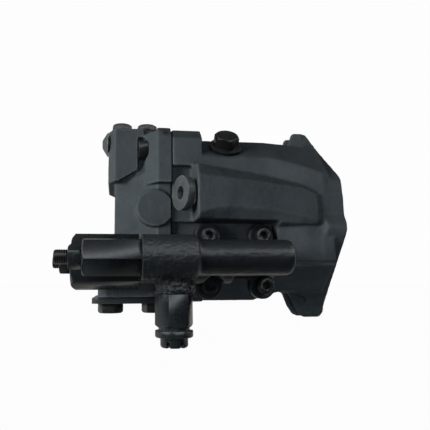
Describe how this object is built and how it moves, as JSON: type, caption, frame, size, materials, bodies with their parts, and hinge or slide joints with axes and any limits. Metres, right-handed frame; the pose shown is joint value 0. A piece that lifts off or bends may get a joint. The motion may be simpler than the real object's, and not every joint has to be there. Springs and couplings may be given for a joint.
{
  "type": "axial piston pump",
  "caption": "Variable swash-plate axial piston pump with lugged mounting flange, splined shaft, top and bottom ports and a side-mounted two-spool control valve.",
  "frame": {"origin": "centre of the drive shaft's end face, 26 mm in front of the mounting flange's face", "axes": "+X along the shaft, out of the pump; +Z towards the pressure port; the control valve is on the -Y side"},
  "size_m": [0.261, 0.1973, 0.186],
  "materials": {
    "pump_housing": "semi-gloss black paint over a casting",
    "port_plate": "semi-gloss black paint over a casting",
    "control_valve_body": "semi-gloss black paint over a casting",
    "flow_spring_cap": "semi-gloss black paint over a casting",
    "pressure_spring_cap": "semi-gloss black paint over a casting",
    "valve_screw_1": "blackened steel",
    "valve_screw_2": "blackened steel",
    "valve_screw_3": "blackened steel",
    "valve_screw_4": "blackened steel",
    "pilot_port_fitting": "semi-gloss black paint over a casting",
    "case_drain_plug": "blackened steel",
    "lifting_eye": "semi-gloss black paint over a casting",
    "port_plate_screw_1": "blackened steel",
    "port_plate_screw_2": "blackened steel",
    "port_plate_screw_3": "blackened steel",
    "port_plate_screw_4": "blackened steel",
    "pressure_port_bolt_1": "blackened steel",
    "pressure_port_bolt_2": "blackened steel",
    "suction_port_cover": "semi-gloss black paint over a casting",
    "suction_cover_bolt_1": "blackened steel",
    "suction_cover_bolt_2": "blackened steel",
    "gauge_port_plug": "semi-gloss black paint over a casting",
    "front_bearing": "ground steel",
    "rear_bearing": "ground steel",
    "shaft_seal": "matt rubber lip",
    "valve_plate": "machined bronze",
    "cradle_bearing_upper": "machined bronze",
    "cradle_bearing_lower": "machined bronze",
    "bias_spring": "ground steel",
    "drive_shaft": "ground steel",
    "cylinder_barrel": "ground steel",
    "retaining_ball": "machined bronze",
    "retainer_plate": "ground steel",
    "swash_plate": "ground steel",
    "control_piston": "ground steel",
    "counter_piston": "ground steel",
    "flow_spool": "ground steel",
    "pressure_spool": "ground steel",
    "flow_adjusting_screw": "blackened steel",
    "pressure_adjusting_screw": "blackened steel",
    "flow_lock_nut": "semi-gloss black paint over a casting",
    "pressure_lock_nut": "semi-gloss black paint over a casting",
    "piston_1": "ground steel",
    "slipper_1": "machined bronze",
    "piston_2": "ground steel",
    "slipper_2": "machined bronze",
    "piston_3": "ground steel",
    "slipper_3": "machined bronze",
    "piston_4": "ground steel",
    "slipper_4": "machined bronze",
    "piston_5": "ground steel",
    "slipper_5": "machined bronze",
    "piston_6": "ground steel",
    "slipper_6": "machined bronze",
    "piston_7": "ground steel",
    "slipper_7": "machined bronze",
    "piston_8": "ground steel",
    "slipper_8": "machined bronze",
    "piston_9": "ground steel",
    "slipper_9": "machined bronze"
  },
  "bodies": {
    "pump_body": {"pump_housing": "pump_housing", "port_plate": "port_plate", "control_valve_body": "control_valve_body", "flow_spring_cap": "flow_spring_cap", "pressure_spring_cap": "pressure_spring_cap", "valve_screw_1": "valve_screw_1", "valve_screw_2": "valve_screw_2", "valve_screw_3": "valve_screw_3", "valve_screw_4": "valve_screw_4", "pilot_port_fitting": "pilot_port_fitting", "case_drain_plug": "case_drain_plug", "lifting_eye": "lifting_eye", "port_plate_screw_1": "port_plate_screw_1", "port_plate_screw_2": "port_plate_screw_2", "port_plate_screw_3": "port_plate_screw_3", "port_plate_screw_4": "port_plate_screw_4", "pressure_port_bolt_1": "pressure_port_bolt_1", "pressure_port_bolt_2": "pressure_port_bolt_2", "suction_port_cover": "suction_port_cover", "suction_cover_bolt_1": "suction_cover_bolt_1", "suction_cover_bolt_2": "suction_cover_bolt_2", "gauge_port_plug": "gauge_port_plug", "front_bearing": "front_bearing", "rear_bearing": "rear_bearing", "shaft_seal": "shaft_seal", "valve_plate": "valve_plate", "cradle_bearing_upper": "cradle_bearing_upper", "cradle_bearing_lower": "cradle_bearing_lower", "bias_spring": "bias_spring"},
    "rotor": {"drive_shaft": "drive_shaft", "cylinder_barrel": "cylinder_barrel", "retaining_ball": "retaining_ball"},
    "retainer": {"retainer_plate": "retainer_plate"},
    "swash": {"swash_plate": "swash_plate"},
    "control_ram": {"control_piston": "control_piston"},
    "counter_ram": {"counter_piston": "counter_piston"},
    "flow_valve_spool": {"flow_spool": "flow_spool"},
    "pressure_valve_spool": {"pressure_spool": "pressure_spool"},
    "flow_screw": {"flow_adjusting_screw": "flow_adjusting_screw"},
    "pressure_screw": {"pressure_adjusting_screw": "pressure_adjusting_screw"},
    "flow_nut": {"flow_lock_nut": "flow_lock_nut"},
    "pressure_nut": {"pressure_lock_nut": "pressure_lock_nut"},
    "piston_group_1": {"piston_1": "piston_1"},
    "slipper_group_1": {"slipper_1": "slipper_1"},
    "piston_group_2": {"piston_2": "piston_2"},
    "slipper_group_2": {"slipper_2": "slipper_2"},
    "piston_group_3": {"piston_3": "piston_3"},
    "slipper_group_3": {"slipper_3": "slipper_3"},
    "piston_group_4": {"piston_4": "piston_4"},
    "slipper_group_4": {"slipper_4": "slipper_4"},
    "piston_group_5": {"piston_5": "piston_5"},
    "slipper_group_5": {"slipper_5": "slipper_5"},
    "piston_group_6": {"piston_6": "piston_6"},
    "slipper_group_6": {"slipper_6": "slipper_6"},
    "piston_group_7": {"piston_7": "piston_7"},
    "slipper_group_7": {"slipper_7": "slipper_7"},
    "piston_group_8": {"piston_8": "piston_8"},
    "slipper_group_8": {"slipper_8": "slipper_8"},
    "piston_group_9": {"piston_9": "piston_9"},
    "slipper_group_9": {"slipper_9": "slipper_9"}
  },
  "joints": [
    {"name": "shaft_spin", "type": "hinge", "parent": "pump_body", "child": "rotor", "pos_m": [0, 0, 0], "axis": [1, 0, 0], "range_deg": [-360, 360]},
    {"name": "swash_tilt", "type": "hinge", "parent": "pump_body", "child": "swash", "pos_m": [-0.096, 0, 0], "axis": [0, 0, -1], "range_deg": [0, 17]},
    {"name": "piston_1_stroke", "type": "slide", "parent": "rotor", "child": "piston_group_1", "axis": [1, 0, 0], "range_m": [0, 0.00738]},
    {"name": "slipper_1_swivel", "type": "hinge", "parent": "piston_group_1", "child": "slipper_group_1", "pos_m": [-0.096, 0.02443, 0.00889], "axis": [0, 0, -1], "range_deg": [0, 17.1]},
    {"name": "piston_2_stroke", "type": "slide", "parent": "rotor", "child": "piston_group_2", "axis": [1, 0, 0], "range_m": [0, 0.00393]},
    {"name": "slipper_2_swivel", "type": "hinge", "parent": "piston_group_2", "child": "slipper_group_2", "pos_m": [-0.096, 0.013, 0.02252], "axis": [0, 0, -1], "range_deg": [0, 17.1]},
    {"name": "piston_3_stroke", "type": "slide", "parent": "rotor", "child": "piston_group_3", "axis": [1, 0, 0], "range_m": [-0.00137, 0]},
    {"name": "slipper_3_swivel", "type": "hinge", "parent": "piston_group_3", "child": "slipper_group_3", "pos_m": [-0.096, -0.00451, 0.0256], "axis": [0, 0, -1], "range_deg": [0, 17.1]},
    {"name": "piston_4_stroke", "type": "slide", "parent": "rotor", "child": "piston_group_4", "axis": [1, 0, 0], "range_m": [-0.00602, 0]},
    {"name": "slipper_4_swivel", "type": "hinge", "parent": "piston_group_4", "child": "slipper_group_4", "pos_m": [-0.096, -0.01992, 0.01671], "axis": [0, 0, -1], "range_deg": [0, 17.1]},
    {"name": "piston_5_stroke", "type": "slide", "parent": "rotor", "child": "piston_group_5", "axis": [1, 0, 0], "range_m": [-0.00786, 0]},
    {"name": "slipper_5_swivel", "type": "hinge", "parent": "piston_group_5", "child": "slipper_group_5", "pos_m": [-0.096, -0.026, 0], "axis": [0, 0, -1], "range_deg": [0, 17.1]},
    {"name": "piston_6_stroke", "type": "slide", "parent": "rotor", "child": "piston_group_6", "axis": [1, 0, 0], "range_m": [-0.00602, 0]},
    {"name": "slipper_6_swivel", "type": "hinge", "parent": "piston_group_6", "child": "slipper_group_6", "pos_m": [-0.096, -0.01992, -0.01671], "axis": [0, 0, -1], "range_deg": [0, 17.1]},
    {"name": "piston_7_stroke", "type": "slide", "parent": "rotor", "child": "piston_group_7", "axis": [1, 0, 0], "range_m": [-0.00137, 0]},
    {"name": "slipper_7_swivel", "type": "hinge", "parent": "piston_group_7", "child": "slipper_group_7", "pos_m": [-0.096, -0.00451, -0.0256], "axis": [0, 0, -1], "range_deg": [0, 17.1]},
    {"name": "piston_8_stroke", "type": "slide", "parent": "rotor", "child": "piston_group_8", "axis": [1, 0, 0], "range_m": [0, 0.00393]},
    {"name": "slipper_8_swivel", "type": "hinge", "parent": "piston_group_8", "child": "slipper_group_8", "pos_m": [-0.096, 0.013, -0.02252], "axis": [0, 0, -1], "range_deg": [0, 17.1]},
    {"name": "piston_9_stroke", "type": "slide", "parent": "rotor", "child": "piston_group_9", "axis": [1, 0, 0], "range_m": [0, 0.00738]},
    {"name": "slipper_9_swivel", "type": "hinge", "parent": "piston_group_9", "child": "slipper_group_9", "pos_m": [-0.096, 0.02443, -0.00889], "axis": [0, 0, -1], "range_deg": [0, 17.1]},
    {"name": "retainer_swivel", "type": "hinge", "parent": "rotor", "child": "retainer", "pos_m": [-0.096, 0, 0], "axis": [0, 0, -1], "range_deg": [0, 17.1]},
    {"name": "control_piston_stroke", "type": "slide", "parent": "pump_body", "child": "control_ram", "axis": [1, 0, 0], "range_m": [-0.0168, 0]},
    {"name": "counter_piston_stroke", "type": "slide", "parent": "pump_body", "child": "counter_ram", "axis": [1, 0, 0], "range_m": [0, 0.0168]},
    {"name": "flow_spool_slide", "type": "slide", "parent": "pump_body", "child": "flow_valve_spool", "axis": [1, 0, 0], "range_m": [-0.003, 0.003]},
    {"name": "pressure_spool_slide", "type": "slide", "parent": "pump_body", "child": "pressure_valve_spool", "axis": [1, 0, 0], "range_m": [-0.003, 0.003]},
    {"name": "flow_screw_adjust", "type": "slide", "parent": "pump_body", "child": "flow_screw", "axis": [1, 0, 0], "range_m": [-0.004, 0.004]},
    {"name": "pressure_screw_adjust", "type": "slide", "parent": "pump_body", "child": "pressure_screw", "axis": [1, 0, 0], "range_m": [-0.004, 0.004]},
    {"name": "flow_nut_turn", "type": "hinge", "parent": "pump_body", "child": "flow_nut", "pos_m": [-0.2419, -0.102, -0.038], "axis": [1, 0, 0], "range_deg": [-90, 90]},
    {"name": "pressure_nut_turn", "type": "hinge", "parent": "pump_body", "child": "pressure_nut", "pos_m": [-0.2515, -0.068, -0.0399], "axis": [1, 0, 0], "range_deg": [-90, 90]}
  ],
  "couplings": [
    {"joint": "piston_1_stroke", "follows": "swash_tilt", "m_per_rad": 0.024798},
    {"joint": "slipper_1_swivel", "follows": "swash_tilt", "ratio": 1},
    {"joint": "piston_2_stroke", "follows": "swash_tilt", "m_per_rad": 0.013195},
    {"joint": "slipper_2_swivel", "follows": "swash_tilt", "ratio": 1},
    {"joint": "piston_3_stroke", "follows": "swash_tilt", "m_per_rad": -0.004583},
    {"joint": "slipper_3_swivel", "follows": "swash_tilt", "ratio": 1},
    {"joint": "piston_4_stroke", "follows": "swash_tilt", "m_per_rad": -0.020216},
    {"joint": "slipper_4_swivel", "follows": "swash_tilt", "ratio": 1},
    {"joint": "piston_5_stroke", "follows": "swash_tilt", "m_per_rad": -0.02639},
    {"joint": "slipper_5_swivel", "follows": "swash_tilt", "ratio": 1},
    {"joint": "piston_6_stroke", "follows": "swash_tilt", "m_per_rad": -0.020216},
    {"joint": "slipper_6_swivel", "follows": "swash_tilt", "ratio": 1},
    {"joint": "piston_7_stroke", "follows": "swash_tilt", "m_per_rad": -0.004583},
    {"joint": "slipper_7_swivel", "follows": "swash_tilt", "ratio": 1},
    {"joint": "piston_8_stroke", "follows": "swash_tilt", "m_per_rad": 0.013195},
    {"joint": "slipper_8_swivel", "follows": "swash_tilt", "ratio": 1},
    {"joint": "piston_9_stroke", "follows": "swash_tilt", "m_per_rad": 0.024798},
    {"joint": "slipper_9_swivel", "follows": "swash_tilt", "ratio": 1},
    {"joint": "retainer_swivel", "follows": "swash_tilt", "ratio": 1},
    {"joint": "control_piston_stroke", "follows": "swash_tilt", "m_per_rad": -0.056},
    {"joint": "counter_piston_stroke", "follows": "swash_tilt", "m_per_rad": 0.056}
  ]
}
